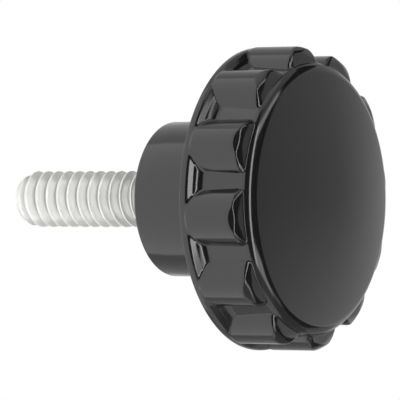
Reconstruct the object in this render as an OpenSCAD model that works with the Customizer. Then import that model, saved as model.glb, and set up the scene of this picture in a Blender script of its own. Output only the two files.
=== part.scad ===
// Fluted knob: a moulded thermoset head with half-round lobes and a moulded-in steel stud.
// The axis lies along Y. The domed face looks to -Y and the stud points to +Y.
// The origin is the centre of the hub's seat face. All lengths are in millimetres.

/* [Hub] */
// Diameter of the hub that carries the head
hub_d = 13.0; // [9:0.1:30]
// Distance from the seat face to the back of the rim
hub_height = 8.3; // [4:0.1:30]
// Radius of the rounded edge round the seat face
seat_edge_r = 0.25; // [0.05:0.05:1]
// Radius of the fillet where the hub runs into the back of the head
hub_root_r = 0.9; // [0.2:0.1:3]

/* [Rim] */
// Diameter of the thin rim that closes the flutes at the back
rim_d = 25.2; // [18:0.1:60]
// Thickness of the rim at its outer edge
rim_t = 0.95; // [0.3:0.05:3]
// Radius of the rim's back edge
rim_edge_r = 0.4; // [0.05:0.05:2]
// Radius of the rim's front edge, at the top of each flute's end wall
rim_front_r = 0.85; // [0.05:0.05:1]

/* [Flutes] */
// Diameter of the flute floors at their back end; draft makes them narrow towards the disc
floor_back_d = 23.1; // [16:0.1:57]
// Slope of each flute's end wall, in degrees from the axis
end_wall_angle = 63; // [40:1:80]
// Radius of the fillet at the foot of each flute's end wall
end_wall_r = 0.8; // [0.1:0.05:2]

/* [Lobes] */
// Number of lobes
lobe_count = 12; // [6:1:16]
// Diameter over the crests of the lobes
crest_d = 25.4; // [18:0.1:60]
// Radius of each lobe's half-round section
lobe_r = 2.56; // [1:0.02:6]
// Length of the lobes from the back of the rim to their front shoulder
lobe_length = 5.25; // [2:0.05:30]
// Length of the coned chamfer at the front of each lobe
lobe_chamfer_length = 0.7; // [0.1:0.05:3]
// Slope of that chamfer, in degrees from the axis
lobe_chamfer_angle = 34; // [15:1:60]
// Radius of the rounded back end of each lobe, where it dips behind the rim
lobe_back_r = 0.35; // [0.1:0.05:2]
// Angle of the first lobe about the axis, in degrees
lobe_phase = 7.7; // [0:0.1:30]

/* [Front disc] */
// Diameter of the disc, where the flute floors run out into its side
disc_d = 22.7; // [16:0.1:56]
// Length of the disc's straight side from the back of the rim
disc_side_length = 4.95; // [2:0.05:30]
// Radius of the disc's rounded edge
disc_edge_r = 1.2; // [0.2:0.05:3]
// Radius of the domed face
dome_r = 55; // [25:1:200]

/* [Stud] */
// Major diameter of the thread
thread_d = 4.78; // [3:0.01:12]
// Length of the stud beyond the seat face
stud_length = 14.9; // [6:0.1:40]
// Length of the chamfer at the tip
tip_length = 1.0; // [0.2:0.1:3]
// Diameter of the flat end of the tip
tip_d = 3.7; // [1:0.1:8]
// Diameter over the knurled shank inside the hub
shank_d = 5.2; // [3:0.1:14]
// Length of the shank inside the hub, up to the head
buried_length = 4.1; // [1:0.1:12]
// Width across the flats of the moulded-in hex head
head_af = 7.9; // [5:0.1:16]
// Thickness of the moulded-in hex head
head_t = 3.0; // [1:0.1:8]

/* [Hidden] */
// Facets of the round shapes
$fn = 96;
hub_r = hub_d / 2;
rim_r = rim_d / 2;
floor_back_r = floor_back_d / 2;
disc_r = disc_d / 2;
crest_r = crest_d / 2;
// The lobes' shaped ends stand this much outside the crests, so that the crests stay whole
crest_relief = 0.01;
// Direction from the rim's front edge down the flute's end wall, as radius and distance to the front
wall_dir = [-sin(end_wall_angle), cos(end_wall_angle)];
rim_front = hub_height + rim_t;
wall_foot = rim_front + (rim_r - floor_back_r) / tan(end_wall_angle);
lobe_back = hub_height + rim_edge_r;
shoulder = hub_height + lobe_length;
// The disc's rounded edge and the dome touch where their common normal runs
edge_mid = [disc_r - disc_edge_r, hub_height + disc_side_length];
dome_mid = edge_mid[1] - sqrt(pow(dome_r - disc_edge_r, 2) - pow(edge_mid[0], 2));
dome_reach = edge_mid[0] * dome_r / (dome_r - disc_edge_r);
dome_top = dome_mid + dome_r;
// Direction of a flute's floor from the foot of its end wall to the disc
floor_run = [disc_r - floor_back_r, edge_mid[1] - wall_foot];
floor_dir = floor_run / norm(floor_run);

// Turns a shape made along Z, front upwards, so that its front looks to -Y.
module along_axis() {
    rotate([90, 0, 0])
        children();
}

// The sliver between a corner and the arc that rounds it; u and v run along the corner's two edges.
// Added to a hollow corner it is a fillet, taken from an outer corner it is a round.
module corner_web(corner, u, v, r) {
    half = acos(u * v) / 2;
    reach = r / tan(half);
    mid = corner + (u + v) / norm(u + v) * r / sin(half);
    difference() {
        polygon([corner, corner + u * reach, mid, corner + v * reach]);
        translate(mid)
            circle(r);
    }
}

// Half-section of the hub, with its rounded seat edge and its root fillet.
module hub_profile() {
    difference() {
        square([hub_r, rim_front]);
        corner_web([hub_r, 0], [-1, 0], [0, 1], seat_edge_r);
    }
    corner_web([hub_r, hub_height], [0, -1], [1, 0], hub_root_r);
}

// Half-section of the rim, from its back face over its edge and down the flutes' end wall.
module rim_profile() {
    difference() {
        polygon([
            [0, hub_height],
            [rim_r, hub_height],
            [rim_r, rim_front],
            [floor_back_r, wall_foot],
            [0, wall_foot]
        ]);
        corner_web([rim_r, hub_height], [-1, 0], [0, 1], rim_edge_r);
        corner_web([rim_r, rim_front], [0, -1], wall_dir, rim_front_r);
    }
    corner_web([floor_back_r, wall_foot], floor_dir, -wall_dir, end_wall_r);
}

// Half-section of the flute floors and the front disc: drafted side, rounded edge and domed face.
module disc_profile() {
    polygon([
        [0, hub_height],
        [floor_back_r, hub_height],
        [floor_back_r, wall_foot],
        [disc_r, edge_mid[1]],
        [0, edge_mid[1]]
    ]);
    intersection() {
        translate([0, dome_mid])
            circle(dome_r, $fn = 8 * $fn);
        translate([0, edge_mid[1]])
            square([dome_reach, dome_top]);
    }
    intersection() {
        translate(edge_mid)
            circle(disc_edge_r);
        translate([dome_reach, edge_mid[1]])
            square([disc_r, dome_top]);
    }
}

// Half-section that the lobes are trimmed to: a straight outside, a rounded back and a chamfered front.
module lobe_envelope_profile() {
    outer_r = crest_r + crest_relief;
    difference() {
        translate([0, lobe_back])
            square([outer_r, shoulder - lobe_back]);
        corner_web([outer_r, lobe_back], [-1, 0], [0, 1], lobe_back_r);
        polygon([
            [outer_r, shoulder],
            [outer_r - lobe_chamfer_length * tan(lobe_chamfer_angle), shoulder],
            [outer_r, shoulder - lobe_chamfer_length]
        ]);
    }
}

// All the lobes: half-round bars round the core, trimmed to the envelope with shaped ends.
module lobes() {
    intersection() {
        translate([0, 0, lobe_back])
            linear_extrude(shoulder - lobe_back)
                for (i = [0:lobe_count - 1])
                    rotate(lobe_phase + i * 360 / lobe_count)
                        translate([crest_r - lobe_r, 0])
                            circle(lobe_r);
        rotate_extrude()
            lobe_envelope_profile();
    }
}

// The stud as a solid: chamfered thread, and the shank and hex head that lock it in the moulding.
module stud_form() {
    translate([0, 0, tip_length - stud_length])
        cylinder(d = thread_d, h = stud_length - tip_length);
    cylinder(d = shank_d, h = buried_length + head_t);
    translate([0, 0, -stud_length])
        cylinder(d1 = tip_d, d2 = thread_d, h = tip_length);
    translate([0, 0, buried_length])
        cylinder(d = head_af / cos(30), h = head_t, $fn = 6);
}

// The moulded head, closed tightly round the stud.
module knob_body() {
    color("#1b1b1d")
        along_axis()
            difference() {
                union() {
                    rotate_extrude() {
                        hub_profile();
                        rim_profile();
                        disc_profile();
                    }
                    lobes();
                }
                stud_form();
            }
}

// The zinc-plated steel stud.
module threaded_stud() {
    color("#c9c9c6")
        along_axis()
            stud_form();
}

knob_body();
threaded_stud();
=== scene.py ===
"""Looks of the fluted knob: the moulded head, the threaded stud and the studio round them."""

import logging
import math
from dataclasses import dataclass, field
from enum import Enum
from typing import Any, Optional

import bpy
import numpy as np
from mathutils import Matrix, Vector


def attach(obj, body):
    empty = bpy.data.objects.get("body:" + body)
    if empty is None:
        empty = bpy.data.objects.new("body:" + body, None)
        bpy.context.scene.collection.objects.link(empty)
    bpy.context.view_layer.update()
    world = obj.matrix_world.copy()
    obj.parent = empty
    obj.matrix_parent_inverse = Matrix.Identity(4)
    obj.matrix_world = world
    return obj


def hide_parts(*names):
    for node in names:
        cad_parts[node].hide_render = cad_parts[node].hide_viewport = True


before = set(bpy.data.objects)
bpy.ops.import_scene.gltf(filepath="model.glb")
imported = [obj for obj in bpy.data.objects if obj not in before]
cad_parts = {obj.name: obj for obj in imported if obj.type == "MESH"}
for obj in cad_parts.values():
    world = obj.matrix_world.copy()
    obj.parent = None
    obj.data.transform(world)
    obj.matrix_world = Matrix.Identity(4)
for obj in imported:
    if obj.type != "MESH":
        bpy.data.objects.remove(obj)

log = logging.getLogger("fluted_knob")

# A point of a half-section, and a ring round the axis: radius and distance from the seat, in mm.
Point = tuple[float, float]
Ring = tuple[np.ndarray, np.ndarray]

MM = 0.001
TURN = 2.0 * math.pi
PURE_WHITE = "#ffffff"
# How bright white is in the picture.
WHITE_LEVEL = 1.0
# Numbers of a Mix node's sockets for colours, which share their names with its other sockets.
MIX_SHARE = 0
MIX_FIRST = 6
MIX_SECOND = 7
MIX_RESULT = 2


class Slot(Enum):
    """The record's material slots."""

    HEAD = "black_thermoset"
    STUD = "zinc_plated_steel"


class Node(Enum):
    """The CAD nodes that the visual pieces stand for."""

    HEAD = "knob_body"
    STUD = "threaded_stud"


class Mark(Enum):
    """Values that meshes carry for their materials."""

    ROOT = "root"
    TONE = "tone"


class Tone(Enum):
    """How bright a studio panel looks in a reflection, where 1 is white."""

    BLACK = 0.004
    SHADE = 0.2
    GREY = 0.39
    MIDDLE = 0.5
    PALE = 0.75
    LIGHT = 0.95
    SOFTBOX = 1.5
    WHITE = 2.5
    STRIP = 6.0

    def even(self) -> "Corners":
        """Gives this tone to all four corners of a panel."""
        return self, self, self, self


# A panel's corners: low start, low end, high start and high end.
Corners = tuple[Tone, Tone, Tone, Tone]


def linear(code: str) -> tuple[float, float, float, float]:
    """Turns an sRGB hex colour into linear RGBA.

    Args:
        code: The colour as "#rrggbb".

    Returns:
        Linear red, green and blue, with full alpha.
    """
    parts = [int(code[i : i + 2], 16) / 255 for i in (1, 3, 5)]
    # The curve that the sRGB standard gives.
    red, green, blue = (c / 12.92 if c <= 0.04045 else ((c + 0.055) / 1.055) ** 2.4 for c in parts)
    return red, green, blue, 1.0


def add_node(
    tree: bpy.types.NodeTree,
    kind: str,
    settings: Optional[dict[str, Any]] = None,
    values: Optional[dict[Any, Any]] = None,
    links: Optional[dict[Any, bpy.types.NodeSocket]] = None,
) -> bpy.types.Node:
    """Adds one node to a tree, with its settings, its socket values and its incoming links.

    Args:
        tree: The node tree.
        kind: The node's type name.
        settings: Properties of the node by name.
        values: Values of input sockets by name or number.
        links: Output sockets to join to input sockets by name or number.

    Returns:
        The new node.
    """
    node = tree.nodes.new(kind)
    for name, value in (settings or {}).items():
        setattr(node, name, value)
    for key, value in (values or {}).items():
        node.inputs[key].default_value = value
    for key, socket in (links or {}).items():
        tree.links.new(socket, node.inputs[key])
    return node


def blank_material(name: str) -> bpy.types.Material:
    """Makes a material with an empty node tree.

    Args:
        name: The material's name.

    Returns:
        The new material.
    """
    mat = bpy.data.materials.new(name)
    mat.use_nodes = True
    mat.node_tree.nodes.clear()
    return mat


def place_mesh(name: str, mesh: bpy.types.Mesh) -> bpy.types.Object:
    """Puts a mesh into the scene.

    Args:
        name: The new object's name.
        mesh: Its mesh.

    Returns:
        The new object, linked to the scene.
    """
    piece = bpy.data.objects.new(name, mesh)
    bpy.context.scene.collection.objects.link(piece)
    return piece


def round_max(a: np.ndarray, b: np.ndarray, r: Any) -> np.ndarray:
    """Joins two distances as an intersection whose outer edge is rounded by about r."""
    return np.minimum(-r, np.maximum(a, b)) + np.hypot(np.maximum(a + r, 0), np.maximum(b + r, 0))


def round_min(a: np.ndarray, b: np.ndarray, r: Any) -> np.ndarray:
    """Joins two distances as a union whose hollow corner is filleted by about r."""
    return np.maximum(r, np.minimum(a, b)) - np.hypot(np.maximum(r - a, 0), np.maximum(r - b, 0))


def soft_bend(x: np.ndarray, soft: float) -> np.ndarray:
    """Gives x above zero and zero below it, with the corner between them rounded."""
    return 0.5 * (x + np.sqrt(x**2 + soft**2))


def arc(mid: Point, r: float, start: float, end: float, steps: int) -> list[Point]:
    """Lists points along an arc of a half-section.

    Args:
        mid: Centre as radius and distance from the seat, in mm.
        r: Radius in mm.
        start: First angle in degrees, from the radial direction towards the front.
        end: Last angle in degrees.
        steps: Number of points.

    Returns:
        The points, both ends among them.
    """
    turns = np.radians(np.linspace(start, end, steps))
    return [(mid[0] + r * math.cos(t), mid[1] + r * math.sin(t)) for t in turns]


def hexagon(across_flats: float, turns: np.ndarray) -> np.ndarray:
    """Gives the radius of a hexagon in each direction, in the unit of its width across flats."""
    sixth = TURN / 6
    return across_flats / 2 / np.cos((turns % sixth) - sixth / 2)


def turned(line: list[Point], turns: np.ndarray) -> list[Ring]:
    """Turns the points of a half-section into round rings, one direction for each of the turns."""
    flat = np.ones_like(turns)
    return [(flat * r, flat * s) for r, s in line]


def skin(name: str, rings: list[Ring], turns: np.ndarray, crease: float) -> bpy.types.Object:
    """Makes a closed mesh from rings round the axis, and closes its ends on the axis.

    Args:
        name: Name of the piece.
        rings: Each ring's radius and distance from the seat towards the front, per direction, in mm.
        turns: The directions round the axis, in radians from +X towards +Z.
        crease: Edges that turn more than this many degrees stay sharp.

    Returns:
        The new object, linked to the scene and smooth between its creases.
    """
    count, columns = len(rings), len(turns)
    r = np.array([ring[0] for ring in rings])
    s = np.array([ring[1] for ring in rings])
    points = np.stack([r * np.cos(turns), -s, r * np.sin(turns)], axis=-1).reshape(-1, 3) * MM
    ends = np.array([[0, -s[0].mean(), 0], [0, -s[-1].mean(), 0]]) * MM
    here = np.arange(columns)
    after = (here + 1) % columns
    faces: list[tuple[int, ...]] = []
    for row in range(count - 1):
        low, high = row * columns, (row + 1) * columns
        faces.extend(zip(low + here, low + after, high + after, high + here))
    first, last = count * columns, count * columns + 1
    top = (count - 1) * columns
    faces.extend((first, b, a) for a, b in zip(here, after))
    faces.extend((last, top + a, top + b) for a, b in zip(here, after))
    mesh = bpy.data.meshes.new(name)
    mesh.from_pydata(np.vstack([points, ends]).tolist(), [], [tuple(int(i) for i in f) for f in faces])
    mesh.polygons.foreach_set("use_smooth", [True] * len(mesh.polygons))
    mesh.set_sharp_from_angle(angle=math.radians(crease))
    mesh.update()
    return place_mesh(name, mesh)


@dataclass(frozen=True)
class BlackThermoset:
    """Black phenolic, pressed in a polished tool: a deep black body under a clean gloss."""

    colour: str = "#151516"
    ior: float = 1.58
    roughness: float = 0.13
    smoother: float = 0.03
    rougher: float = 0.05
    ripple_mm: float = 2.2
    ripple_height_mm: float = 0.004
    ripple_strength: float = 0.35
    ripple_detail: float = 2.0
    ripple_mix: float = 0.45
    grain_mm: float = 0.35
    grain_detail: float = 3.0
    grain_mix: float = 0.6

    def material(self) -> bpy.types.Material:
        """Builds the finish: black gloss with a faint moulding ripple and uneven polish.

        Returns:
            The new material.
        """
        mat = blank_material("black_phenolic_moulding")
        tree = mat.node_tree
        place = add_node(tree, "ShaderNodeTexCoord")
        # The ripple that shrinkage leaves in a moulded face bends long reflections slightly.
        ripple = add_node(
            tree,
            "ShaderNodeTexNoise",
            values={
                "Scale": 1 / (self.ripple_mm * MM),
                "Detail": self.ripple_detail,
                "Roughness": self.ripple_mix,
            },
            links={"Vector": place.outputs["Object"]},
        )
        bump = add_node(
            tree,
            "ShaderNodeBump",
            values={"Strength": self.ripple_strength, "Distance": self.ripple_height_mm * MM},
            links={"Height": ripple.outputs["Fac"]},
        )
        # Filler grain makes the polish a little uneven, so highlights aren't perfectly clean.
        # Real filler is finer than this, and is drawn coarser so that it shows.
        grain = add_node(
            tree,
            "ShaderNodeTexNoise",
            values={
                "Scale": 1 / (self.grain_mm * MM),
                "Detail": self.grain_detail,
                "Roughness": self.grain_mix,
            },
            links={"Vector": place.outputs["Object"]},
        )
        polish = add_node(
            tree,
            "ShaderNodeMapRange",
            values={"To Min": self.roughness - self.smoother, "To Max": self.roughness + self.rougher},
            links={"Value": grain.outputs["Fac"]},
        )
        shader = add_node(
            tree,
            "ShaderNodeBsdfPrincipled",
            values={"Base Color": linear(self.colour), "IOR": self.ior},
            links={"Roughness": polish.outputs["Result"], "Normal": bump.outputs["Normal"]},
        )
        add_node(tree, "ShaderNodeOutputMaterial", links={"Surface": shader.outputs["BSDF"]})
        return mat


@dataclass(frozen=True)
class ZincPlate:
    """Bright zinc plate on a rolled steel thread: a pale, slightly milky metal."""

    colour: str = "#e4e4e2"
    dull: str = "#d6d6d3"
    # Painted shade for the thread's roots, darker than the plate.
    root: str = "#a6a6a3"
    roughness: float = 0.32
    polish_spread: float = 0.08
    # The plate's milky film scatters light as paint does, so only half of what is seen is metal.
    metal_share: float = 0.5
    cloud_mm: float = 1.4
    cloud_detail: float = 4.0
    cloud_mix: float = 0.6
    grain_mm: float = 0.5
    grain_height_mm: float = 0.06
    grain_strength: float = 0.5
    grain_detail: float = 3.0
    grain_mix: float = 0.6
    # The share of the thread's depth below which painted shade darkens the plate towards the roots.
    root_shade_share: float = 0.86

    def material(self) -> bpy.types.Material:
        """Builds the finish: soft metal reflections with faint clouds in the plating, and painted shade in
        the thread's roots.

        Returns:
            The new material.
        """
        mat = blank_material("bright_zinc_plate")
        tree = mat.node_tree
        place = add_node(tree, "ShaderNodeTexCoord")
        # Plating clouds: paler and duller patches that break up the thread's highlights.
        cloud = add_node(
            tree,
            "ShaderNodeTexNoise",
            values={
                "Scale": 1 / (self.cloud_mm * MM),
                "Detail": self.cloud_detail,
                "Roughness": self.cloud_mix,
            },
            links={"Vector": place.outputs["Object"]},
        )
        tint = add_node(
            tree,
            "ShaderNodeMix",
            settings={"data_type": "RGBA"},
            values={MIX_FIRST: linear(self.colour), MIX_SECOND: linear(self.dull)},
            links={MIX_SHARE: cloud.outputs["Fac"]},
        )
        # Plating grain makes the crests sparkle unevenly. It is drawn coarser than it is, so that it shows.
        grain = add_node(
            tree,
            "ShaderNodeTexNoise",
            values={
                "Scale": 1 / (self.grain_mm * MM),
                "Detail": self.grain_detail,
                "Roughness": self.grain_mix,
            },
            links={"Vector": place.outputs["Object"]},
        )
        bump = add_node(
            tree,
            "ShaderNodeBump",
            values={"Strength": self.grain_strength, "Distance": self.grain_height_mm * MM},
            links={"Height": grain.outputs["Fac"]},
        )
        # Painted shade: the plate is darkened towards the bottom of the thread's roots, where shade falls.
        depth = add_node(tree, "ShaderNodeAttribute", settings={"attribute_name": Mark.ROOT.value})
        low = add_node(
            tree,
            "ShaderNodeMapRange",
            values={"From Min": self.root_shade_share, "From Max": 1.0},
            links={"Value": depth.outputs["Fac"]},
        )
        shaded = add_node(
            tree,
            "ShaderNodeMix",
            settings={"data_type": "RGBA"},
            values={MIX_SECOND: linear(self.root)},
            links={MIX_SHARE: low.outputs["Result"], MIX_FIRST: tint.outputs[MIX_RESULT]},
        )
        polish = add_node(
            tree,
            "ShaderNodeMapRange",
            values={
                "To Min": self.roughness - self.polish_spread,
                "To Max": self.roughness + self.polish_spread,
            },
            links={"Value": cloud.outputs["Fac"]},
        )
        shader = add_node(
            tree,
            "ShaderNodeBsdfPrincipled",
            values={"Metallic": self.metal_share},
            links={
                "Base Color": shaded.outputs[MIX_RESULT],
                "Roughness": polish.outputs["Result"],
                "Normal": bump.outputs["Normal"],
            },
        )
        add_node(tree, "ShaderNodeOutputMaterial", links={"Surface": shader.outputs["BSDF"]})
        return mat


@dataclass
class ScrewForm:
    """The stud's sizes, which the head's cavity follows, in mm."""

    major_r: float = 2.39
    pitch: float = 1.0583
    thread_start: float = 0.25
    length: float = 14.9
    tip_length: float = 1.0
    tip_r: float = 1.85
    shank_r: float = 2.6
    buried: float = 4.1
    head_af: float = 7.9
    head_t: float = 3.0
    # Where a ring divides the hex head's far face, as a share of its radius.
    face_share: float = 0.5

    def buried_rings(self, turns: np.ndarray, gap: float) -> list[Ring]:
        """Lists the rings of the hidden part, from the hex head's far face to the shank in the hub.

        Args:
            turns: The directions round the axis.
            gap: Clearance added all round, in mm.

        Returns:
            Rings of radius and distance from the seat.
        """
        flat = np.ones_like(turns)
        hexagonal = hexagon(self.head_af, turns) + gap
        shank = flat * (self.shank_r + gap)
        far, near = self.buried + self.head_t + gap, self.buried - gap
        return [
            (hexagonal * self.face_share, flat * far),
            (hexagonal, flat * far),
            (hexagonal, flat * near),
            (shank, flat * near),
            (shank, flat * 0.0),
        ]


@dataclass(frozen=True)
class HeadGrid:
    """How finely the head's skin is divided, as points along each stretch, both ends among them."""

    seat_edge: int = 7
    hub_root: int = 10
    rim_edge: int = 9
    end_wall: int = 40
    lobe_length: int = 12
    lobe_front: int = 9
    shoulder: int = 47
    disc_edge: int = 7
    dome: int = 12
    round_lobe: int = 29
    at_foot: int = 8
    on_floor: int = 5
    # How far the close columns at a lobe's foot reach onto the floor, in radians.
    foot_reach: float = 0.014
    # How often the search for the surface halves its step.
    halvings: int = 36


@dataclass
class KnobHead:
    """The moulded head: hub, rim, lobes, flutes and domed disc as one skin, in mm and degrees."""

    screw: ScrewForm
    finish: BlackThermoset = field(default_factory=BlackThermoset)
    grid: HeadGrid = field(default_factory=HeadGrid)
    cavity_gap: float = 0.01
    hub_r: float = 6.5
    hub_height: float = 8.3
    seat_edge_r: float = 0.25
    hub_root_r: float = 0.9
    rim_r: float = 12.6
    rim_land: float = 0.57
    rim_t: float = 0.77
    rim_edge_r: float = 0.15
    rim_front_r: float = 0.6
    rim_chamfer_angle: float = 45.0
    floor_back_r: float = 11.55
    end_wall_angle: float = 60.0
    end_wall_r: float = 1.0
    lobe_count: int = 12
    lobe_phase: float = 7.7
    crest_r: float = 12.7
    lobe_r: float = 2.56
    lobe_back: float = 8.7
    lobe_back_r: float = 0.35
    shoulder: float = 13.59
    shoulder_r: float = 11.75
    shoulder_draft: float = 8.0
    chamfer_length: float = 0.7
    chamfer_angle: float = 34.0
    chamfer_r: float = 0.6
    bevel_angle: float = 45.0
    bevel_cut: float = 0.055
    # The shoulder's edge is sharp on the crest and soft on the flanks, and changes by this power between.
    lobe_front_r: float = 0.1
    lobe_flank_r: float = 0.5
    flank_power: int = 6
    disc_r: float = 11.35
    disc_side: float = 13.25
    disc_edge_r: float = 1.2
    dome_r: float = 55.0
    crease_r: float = 0.08
    crease_angle: float = 38.0
    # Rings that divide plain stretches: on the seat, along the hub, on the rim's back and at the dome's top.
    seat_ring_r: float = 4.0
    hub_rings: Point = (2.0, 5.0)
    rim_rings: Point = (9.0, 11.0)
    dome_ring_r: float = 0.2
    # Where the close rings over the end walls end, and where those over the lobes' fronts begin.
    wall_end: float = 10.2
    front_start: float = 12.5
    # Where the rays start that find the lobes' fronts, and how far all rays can run.
    spine: Point = (10.9, 13.0)
    ray_reach: float = 2.2
    slope: float = field(init=False)
    draft: float = field(init=False)
    edge_mid: Point = field(init=False)
    dome_mid: float = field(init=False)
    dome_reach: float = field(init=False)
    piece: Optional[bpy.types.Object] = field(default=None, init=False)

    def __post_init__(self) -> None:
        """Works out the flute floors' draft and the centres of the disc's rounded edge and of the dome."""
        self.slope = math.radians(self.end_wall_angle)
        foot = self.hub_height + self.rim_t + (self.rim_r - self.floor_back_r) / math.tan(self.slope)
        self.draft = (self.floor_back_r - self.disc_r) / (self.disc_side - foot)
        self.edge_mid = (self.disc_r - self.disc_edge_r, self.disc_side)
        inner = self.dome_r - self.disc_edge_r
        self.dome_mid = self.edge_mid[1] - math.sqrt(inner**2 - self.edge_mid[0] ** 2)
        self.dome_reach = self.edge_mid[0] * self.dome_r / inner

    @staticmethod
    def blend_share(angle: float) -> float:
        """Gives the blend that stands for an arc of radius 1 between two faces at this angle, in radians."""
        return math.tan(angle / 2) * math.sin(angle)

    def core(self, r: np.ndarray, s: np.ndarray) -> np.ndarray:
        """Gives the distance to the turned core: disc, flute floors, end walls and rim.

        Args:
            r: Distance from the axis in mm.
            s: Distance from the seat towards the front in mm.

        Returns:
            The signed distance in mm, negative inside.
        """
        edge = np.hypot(r - self.edge_mid[0], s - self.edge_mid[1]) - self.disc_edge_r
        side = r - self.disc_r - self.draft * (self.edge_mid[1] - s)
        disc = np.where(s < self.edge_mid[1], side, edge)
        slope, lean = self.slope, math.radians(self.rim_chamfer_angle)
        front, land = self.hub_height + self.rim_t, self.hub_height + self.rim_land
        wall = (r - self.rim_r) * math.cos(slope) + (s - front) * math.sin(slope)
        chamfer = (r - self.rim_r) * math.cos(lean) + (s - land) * math.sin(lean)
        edged = round_max(r - self.rim_r, chamfer, self.rim_front_r * self.blend_share(lean))
        return round_min(np.maximum(edged, wall), disc, self.end_wall_r * self.blend_share(slope))

    def lobe(self, r: np.ndarray, s: np.ndarray, turn: np.ndarray) -> np.ndarray:
        """Gives the distance to one lobe.

        Args:
            r: Distance from the axis in mm.
            s: Distance from the seat in mm.
            turn: Angle from the lobe's middle in radians.

        Returns:
            The signed distance in mm, negative inside.
        """
        along, across = r * np.cos(turn) - (self.crest_r - self.lobe_r), r * np.sin(turn)
        bar = np.hypot(along, across) - self.lobe_r
        lean, steep = math.radians(self.chamfer_angle), math.radians(self.bevel_angle)
        into = s - self.shoulder + self.chamfer_length
        cone = (r - self.crest_r) * math.cos(lean) + into * math.sin(lean)
        corner_r = self.crest_r - self.chamfer_length * math.tan(lean)
        bevel = (r - corner_r) * math.cos(steep) + (s - self.shoulder) * math.sin(steep) + self.bevel_cut
        chamfered = np.maximum(round_max(bar, cone, self.chamfer_r * self.blend_share(lean)), bevel)
        facing = np.maximum(along, 0) / np.maximum(np.hypot(along, across), self.crease_r)
        front_r = self.lobe_flank_r + (self.lobe_front_r - self.lobe_flank_r) * facing**self.flank_power
        draft = math.radians(self.shoulder_draft)
        front = (s - self.shoulder) * math.cos(draft) + (r - self.shoulder_r) * math.sin(draft)
        ended = round_max(chamfered, front, front_r)
        return round_max(ended, self.lobe_back - s, self.lobe_back_r)

    def distance(self, r: np.ndarray, s: np.ndarray, turn: np.ndarray) -> np.ndarray:
        """Gives the distance to the whole fluted part, with its small moulded fillets."""
        return round_min(self.core(r, s), self.lobe(r, s, turn), self.crease_r)

    def columns(self) -> np.ndarray:
        """Lists the directions round the axis, close together where lobes meet floors.

        Returns:
            The directions in radians, from +X towards +Z.
        """
        grid = self.grid
        middle = self.crest_r - self.lobe_r
        floor_r = (self.floor_back_r + self.disc_r) / 2
        foot = math.acos((floor_r**2 - middle**2 - self.lobe_r**2) / (2 * middle * self.lobe_r))
        bend = np.linspace(-foot, foot, grid.round_lobe)[1:-1]
        on_lobe = np.arctan2(self.lobe_r * np.sin(bend), middle + self.lobe_r * np.cos(bend))
        edge = math.atan2(self.lobe_r * math.sin(foot), middle + self.lobe_r * math.cos(foot))
        half = TURN / self.lobe_count / 2
        near = np.linspace(on_lobe[-1], edge + grid.foot_reach, grid.at_foot)[1:]
        floor = np.linspace(edge + grid.foot_reach, half, grid.on_floor)[1:]
        one = np.concatenate([-floor[-2::-1], -near[::-1], on_lobe, near, floor])
        starts = math.radians(self.lobe_phase) + np.arange(self.lobe_count) * 2 * half
        return (starts[:, None] + one[None, :]).ravel()

    def cast(self, turns: np.ndarray, start: Point, lift: float) -> Ring:
        """Finds where one ray per direction leaves the moulding.

        Args:
            turns: The directions round the axis.
            start: Where the rays start, as radius and distance from the seat.
            lift: How far the rays turn from straight outwards towards the front, in radians.

        Returns:
            Radius and distance from the seat of each hit.
        """
        out, forward = math.cos(lift), math.sin(lift)
        pitch = TURN / self.lobe_count
        turn = (turns - math.radians(self.lobe_phase) + pitch / 2) % pitch - pitch / 2
        low, high = np.zeros_like(turns), np.full_like(turns, self.ray_reach)
        for _ in range(self.grid.halvings):
            mid = (low + high) / 2
            inside = self.distance(start[0] + out * mid, start[1] + forward * mid, turn) < 0
            low, high = np.where(inside, mid, low), np.where(inside, high, mid)
        return start[0] + out * low, start[1] + forward * low

    def back_line(self) -> list[Point]:
        """Lists the half-section from the seat over the hub to the edge of the rim's back.

        Returns:
            The points, from the seat face outwards.
        """
        back, grid = self.hub_height, self.grid
        seat_edge = (self.hub_r - self.seat_edge_r, self.seat_edge_r)
        hub_root = (self.hub_r + self.hub_root_r, back - self.hub_root_r)
        rim_edge = (self.rim_r - self.rim_edge_r, back + self.rim_edge_r)
        return [
            (self.seat_ring_r, 0.0),
            *arc(seat_edge, self.seat_edge_r, -90, 0, grid.seat_edge),
            *((self.hub_r, s) for s in self.hub_rings),
            *arc(hub_root, self.hub_root_r, 180, 90, grid.hub_root),
            *((r, back) for r in self.rim_rings),
            *arc(rim_edge, self.rim_edge_r, -90, 0, grid.rim_edge),
        ]

    def fluted_rings(self, turns: np.ndarray) -> list[Ring]:
        """Lists the rings over the flutes and the lobes, each found by rays.

        Args:
            turns: The directions round the axis.

        Returns:
            Rings from the rim to the disc's rounded edge.
        """
        r, end = self.spine
        grid = self.grid
        stretches = [
            np.linspace(self.hub_height + self.rim_edge_r, self.wall_end, grid.end_wall)[1:],
            np.linspace(self.wall_end, self.front_start, grid.lobe_length)[1:],
            np.linspace(self.front_start, end, grid.lobe_front)[1:],
        ]
        sides = [self.cast(turns, (r, float(s)), 0.0) for s in np.concatenate(stretches)]
        lifts = np.radians(np.linspace(0, 90, grid.shoulder))[1:]
        return sides + [self.cast(turns, self.spine, float(lift)) for lift in lifts]

    def face_line(self) -> list[Point]:
        """Lists the half-section from the disc's rounded edge over the dome to its top.

        Returns:
            The points, from the edge inwards.
        """
        line: list[Point] = []
        for r in np.linspace(self.spine[0], self.dome_reach, self.grid.disc_edge)[1:]:
            rise = math.sqrt(self.disc_edge_r**2 - (r - self.edge_mid[0]) ** 2)
            line.append((r, self.edge_mid[1] + rise))
        for r in np.linspace(self.dome_reach, 0, self.grid.dome)[1:-1]:
            line.append((r, self.dome_mid + math.sqrt(self.dome_r**2 - r**2)))
        line.append((self.dome_ring_r, self.dome_mid + self.dome_r))
        return line

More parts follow.
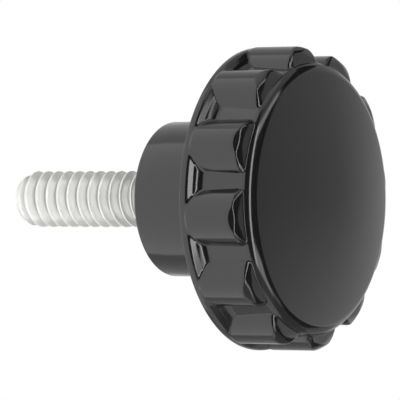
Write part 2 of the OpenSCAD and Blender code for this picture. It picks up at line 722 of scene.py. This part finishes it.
    def rings(self, turns: np.ndarray) -> list[Ring]:
        """Lists the rings of the skin, from the stud's cavity over the hub and rim to the dome.

        Args:
            turns: The directions round the axis.

        Returns:
            Rings of radius and distance from the seat.
        """
        cavity = self.screw.buried_rings(turns, self.cavity_gap)
        back, face = turned(self.back_line(), turns), turned(self.face_line(), turns)
        return cavity + back + self.fluted_rings(turns) + face

    def build(self) -> None:
        """Builds the head's skin."""
        turns = self.columns()
        self.piece = skin("moulded_head", self.rings(turns), turns, self.crease_angle)
        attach(self.piece, "root")
        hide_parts(Node.HEAD.value)
        log.info("moulded head: %d faces", len(self.piece.data.polygons))

    def dress(self) -> None:
        """Gives the head its finish."""
        self.piece.data.materials.append(self.finish.material())


@dataclass
class ThreadedStud:
    """The screw: rolled thread, chamfered tip and the hex head hidden in the hub. Sizes in mm."""

    form: ScrewForm
    finish: ZincPlate = field(default_factory=ZincPlate)
    # Depth of the thread and half the width of its crest, as shares of the pitch.
    depth_share: float = 0.6134
    crest_share: float = 0.0625
    # How steeply the flanks of a 60 degree thread fall along the axis.
    flank_slope: float = math.sqrt(3)
    soft: float = 0.04
    tip_ring_r: float = 0.8
    columns: int = 108
    step: float = 0.04
    crease_angle: float = 50.0
    piece: Optional[bpy.types.Object] = field(default=None, init=False)

    def thread(self, s: float, turns: np.ndarray) -> np.ndarray:
        """Gives the radius of the right-hand thread at one distance from the seat.

        Args:
            s: Distance from the seat towards the front in mm.
            turns: The directions round the axis.

        Returns:
            The radius in each direction in mm.
        """
        pitch = self.form.pitch
        off = np.abs(((s - self.form.thread_start) / pitch - turns / TURN) % 1.0 - 0.5) * pitch
        # A V cut off at the crest, and rounded at crest and root as rolling leaves it.
        sharp = (off - self.crest_share * pitch) * self.flank_slope
        depth = self.depth_share * pitch
        rounded = depth - soft_bend(depth - soft_bend(sharp, self.soft), self.soft)
        return self.form.major_r - np.maximum(rounded, 0)

    def rings(self, turns: np.ndarray) -> list[Ring]:
        """Lists the stud's rings from the hex head to the tip.

        Args:
            turns: The directions round the axis.

        Returns:
            Rings of radius and distance from the seat.
        """
        form = self.form
        flat = np.ones_like(turns)
        found = form.buried_rings(turns, 0.0)
        for s in np.linspace(0, -form.length, int(form.length / self.step)):
            cone = form.tip_r + (form.major_r - form.tip_r) * (s + form.length) / form.tip_length
            found.append((np.minimum(self.thread(float(s), turns), cone), flat * s))
        return found + turned([(self.tip_ring_r, -form.length)], turns)

    def mark_roots(self) -> None:
        """Stores how deep in the thread each point lies, from 0 at the crest to 1 at the root."""
        mesh = self.piece.data
        places = np.empty(len(mesh.vertices) * 3)
        mesh.vertices.foreach_get("co", places)
        x, y, z = places.reshape(-1, 3).T / MM
        below = (self.form.major_r - np.hypot(x, z)) / (self.depth_share * self.form.pitch)
        threaded = (y > 0) & (y < self.form.length - self.form.tip_length)
        depths = np.where(threaded, np.clip(below, 0, 1), 0)
        mesh.attributes.new(Mark.ROOT.value, "FLOAT", "POINT").data.foreach_set("value", depths)

    def build(self) -> None:
        """Builds the stud's skin."""
        turns = np.arange(self.columns) * TURN / self.columns
        self.piece = skin("threaded_screw", self.rings(turns), turns, self.crease_angle)
        # The rings run from inside the head to the tip, against the head's own order.
        self.piece.data.flip_normals()
        self.mark_roots()
        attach(self.piece, "root")
        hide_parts(Node.STUD.value)
        log.info("threaded screw: %d faces", len(self.piece.data.polygons))

    def dress(self) -> None:
        """Gives the stud its finish."""
        self.piece.data.materials.append(self.finish.material())


@dataclass(frozen=True)
class Panel:
    """A curved upright panel of the studio: a card, or the face of a softbox. Angles in degrees.

    The start and end run round the knob from -X towards -Y, and low and high run from level upwards.
    The lean is how far the low edge is shifted round the knob. The distance from the axis is in metres.
    """

    name: str
    start: float
    end: float
    tones: Corners
    low: float = -71.0
    high: float = 71.0
    lean: float = 0.0
    distance: float = 0.75
    across: int = 24
    up: int = 12

    def sheet(self) -> bpy.types.Mesh:
        """Makes the panel's curved sheet, which carries the tones between its corners.

        Returns:
            The new mesh.
        """
        points: list[tuple[float, float, float]] = []
        levels: list[float] = []
        low_start, low_end, high_start, high_end = (tone.value for tone in self.tones)
        for v in np.linspace(0, 1, self.up):
            z = self.distance * math.tan(math.radians(self.low + (self.high - self.low) * v))
            for u in np.linspace(0, 1, self.across):
                turn = math.radians(self.start + (self.end - self.start) * u + self.lean * (1 - v))
                points.append((-self.distance * math.cos(turn), -self.distance * math.sin(turn), z))
                below = low_start + (low_end - low_start) * u
                above = high_start + (high_end - high_start) * u
                levels.append(below + (above - below) * v)
        starts = [row * self.across + i for row in range(self.up - 1) for i in range(self.across - 1)]
        faces = [(i, i + 1, i + 1 + self.across, i + self.across) for i in starts]
        mesh = bpy.data.meshes.new(self.name)
        mesh.from_pydata(points, [], faces)
        mesh.attributes.new(Mark.TONE.value, "FLOAT", "POINT").data.foreach_set("value", levels)
        return mesh

    def glow(self) -> bpy.types.Material:
        """Makes the panel's even white light, as bright as its tones.

        Returns:
            The new material.
        """
        mat = blank_material(f"{self.name}_face")
        tree = mat.node_tree
        tone = add_node(tree, "ShaderNodeAttribute", settings={"attribute_name": Mark.TONE.value})
        shader = add_node(
            tree,
            "ShaderNodeEmission",
            values={"Color": linear(PURE_WHITE)},
            links={"Strength": tone.outputs["Fac"]},
        )
        add_node(tree, "ShaderNodeOutputMaterial", links={"Surface": shader.outputs["Emission"]})
        return mat

    def build(self) -> None:
        """Stands the panel in the studio; only what is brighter than white lights the knob too."""
        piece = place_mesh(self.name, self.sheet())
        piece.visible_camera = False
        piece.visible_diffuse = max(tone.value for tone in self.tones) > WHITE_LEVEL
        piece.visible_shadow = False
        piece.data.materials.append(self.glow())


@dataclass
class Studio:
    """White surroundings, a pale floor, softboxes and dark cards. Sizes in metres."""

    paper: str = "#f4f4f3"
    floor_z: float = -0.04
    floor_r: float = 0.3
    floor_sides: int = 64
    fill: float = 0.6
    bounce_z: float = -0.035
    bounce_side: float = 0.12
    bounce_power: float = 0.05

    def world(self) -> None:
        """Makes the surroundings white to the camera and in reflections, and a soft fill for the rest."""
        world = bpy.data.worlds.new("studio")
        bpy.context.scene.world = world
        world.use_nodes = True
        tree = world.node_tree
        tree.nodes.clear()
        path = add_node(tree, "ShaderNodeLightPath")
        seen = add_node(
            tree,
            "ShaderNodeMath",
            settings={"operation": "MAXIMUM"},
            links={0: path.outputs["Is Camera Ray"], 1: path.outputs["Is Glossy Ray"]},
        )
        through = add_node(
            tree,
            "ShaderNodeMath",
            settings={"operation": "MAXIMUM"},
            links={0: seen.outputs[0], 1: path.outputs["Is Transmission Ray"]},
        )
        level = add_node(
            tree,
            "ShaderNodeMapRange",
            values={"To Min": self.fill, "To Max": WHITE_LEVEL},
            links={"Value": through.outputs[0]},
        )
        light = add_node(
            tree,
            "ShaderNodeBackground",
            values={"Color": linear(PURE_WHITE)},
            links={"Strength": level.outputs["Result"]},
        )
        add_node(tree, "ShaderNodeOutputWorld", links={"Surface": light.outputs["Background"]})

    def floor(self) -> None:
        """Lays a pale round floor below the knob; the gloss shows the panels instead of it."""
        turns = np.arange(self.floor_sides) * TURN / self.floor_sides
        points = [(self.floor_r * math.cos(t), self.floor_r * math.sin(t), self.floor_z) for t in turns]
        mesh = bpy.data.meshes.new("studio_floor")
        mesh.from_pydata(points, [], [tuple(range(self.floor_sides))])
        piece = place_mesh("studio_floor", mesh)
        # Matt white paper scatters light evenly and takes a soft shadow.
        mat = blank_material("white_paper")
        shader = add_node(mat.node_tree, "ShaderNodeBsdfDiffuse", values={"Color": linear(self.paper)})
        add_node(mat.node_tree, "ShaderNodeOutputMaterial", links={"Surface": shader.outputs["BSDF"]})
        mesh.materials.append(mat)
        piece.visible_glossy = False

    def bounce(self) -> None:
        """Lifts the shade below the stud, as a white board under it would; the gloss doesn't show it."""
        data = bpy.data.lights.new("bounce_board", "AREA")
        data.size = self.bounce_side
        data.energy = self.bounce_power
        lamp = bpy.data.objects.new("bounce_board", data)
        lamp.location = (0.0, 0.0, self.bounce_z)
        lamp.rotation_euler = (math.pi, 0.0, 0.0)
        lamp.visible_camera = False
        lamp.visible_glossy = False
        bpy.context.scene.collection.objects.link(lamp)

    @staticmethod
    def panels() -> list[Panel]:
        """Lists the softbox, the strip lights and the cards that the gloss reflects.

        Returns:
            The panels, from the left round the front to the back.
        """
        black, grey = Tone.BLACK.even(), Tone.GREY.even()
        middle, pale, white = Tone.MIDDLE.even(), Tone.PALE.even(), Tone.WHITE.even()
        # The cards that the domed face shows change in tone from corner to corner.
        under = (Tone.MIDDLE, Tone.LIGHT, Tone.GREY, Tone.GREY)
        over = (Tone.GREY, Tone.GREY, Tone.MIDDLE, Tone.MIDDLE)
        under_edge = (Tone.LIGHT, Tone.LIGHT, Tone.GREY, Tone.LIGHT)
        over_edge = (Tone.GREY, Tone.LIGHT, Tone.MIDDLE, Tone.GREY)
        return [
            # The softbox gives hub, lobes and flute floors their even grey.
            Panel("softbox_left", -93, 14, Tone.SOFTBOX.even()),
            Panel("card_camera", 15, 52, black, low=-46),
            # Strip lights draw the bright lines on edges, and black cards leave dark bands beside them.
            Panel("strip_right", 53, 64, Tone.STRIP.even(), low=-44, high=50),
            Panel("strip_low", 65, 98, white, low=-44, high=-24.5),
            Panel("strip_low_end", 98, 106, white, low=-44, high=-33.5),
            Panel("strip_high", 65, 118, white, low=36.5, high=50),
            Panel("card_front", 66, 98, black, low=-24, high=36),
            Panel("card_front_end", 98, 120, black, low=-33, high=36),
            Panel("card_front_low", 106, 119, black, low=-30, high=0, lean=16, distance=0.74),
            # The domed face shows these, with black cards round them.
            Panel("card_face_under", 120, 152, under, low=-21, high=0),
            Panel("card_face_over", 120, 152, over, low=0, high=32),
            Panel("card_edge_under", 152, 180, under_edge, low=-21, high=0),
            Panel("card_edge_over", 152, 180, over_edge, low=0, high=32),
            Panel("card_below", 122, 156, black, low=-40, high=-21),
            Panel("card_below_edge", 156, 200, grey, low=-40, high=-21),
            Panel("card_above", 118, 182, black, low=33, high=53),
            # Greys close the studio below, above and behind.
            Panel("card_floor", 15, 108, grey, high=-46.5),
            Panel("card_floor_end", 108, 200, Tone.SHADE.even(), high=-40.5),
            Panel("card_ceiling", 52, 180, middle, low=53.5),
            Panel("card_back", 180, 267, pale, low=-23, high=18),
            Panel("card_back_over", 180, 205, grey, low=18),
            Panel("card_back_top", 205, 267, pale, low=18),
            Panel("card_back_under", 200, 267, middle, high=-23),
        ]

    def build(self) -> None:
        """Sets up the surroundings, the floor, the bounce board and the panels."""
        self.world()
        self.floor()
        self.bounce()
        panels = self.panels()
        for panel in panels:
            panel.build()
        log.info("studio: surroundings, floor, bounce board and %d panels", len(panels))


@dataclass
class PhotoCamera:
    """The photograph's camera: level with the axis and well to its side, with a long lens. In metres."""

    place: tuple[float, float, float] = (-0.3550, -0.2236, -0.0004)
    aim: tuple[float, float, float] = (0.0, -0.0025, -0.00008)
    lens_mm: float = 448.6
    sensor_mm: float = 36.0
    clip_start: float = 0.01

    def build(self) -> None:
        """Places the camera and makes it the scene's own."""
        data = bpy.data.cameras.new("photo_camera")
        data.lens = self.lens_mm
        data.sensor_width = self.sensor_mm
        data.clip_start = self.clip_start
        camera = bpy.data.objects.new("photo_camera", data)
        camera.location = self.place
        camera.rotation_euler = (Vector(self.aim) - Vector(self.place)).to_track_quat("-Z", "Y").to_euler()
        bpy.context.scene.collection.objects.link(camera)
        bpy.context.scene.camera = camera


def main() -> None:
    """Builds the pieces, their finishes, the studio and the camera in order."""
    logging.basicConfig(level=logging.INFO, format="%(name)s: %(message)s")
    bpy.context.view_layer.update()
    form = ScrewForm()
    for part in (KnobHead(form), ThreadedStud(form)):
        part.build()
        part.dress()
        log.info("%s built and dressed", type(part).__name__)
    Studio().build()
    PhotoCamera().build()
    bpy.context.scene.view_settings.view_transform = "Standard"


if __name__ == "__main__":
    main()
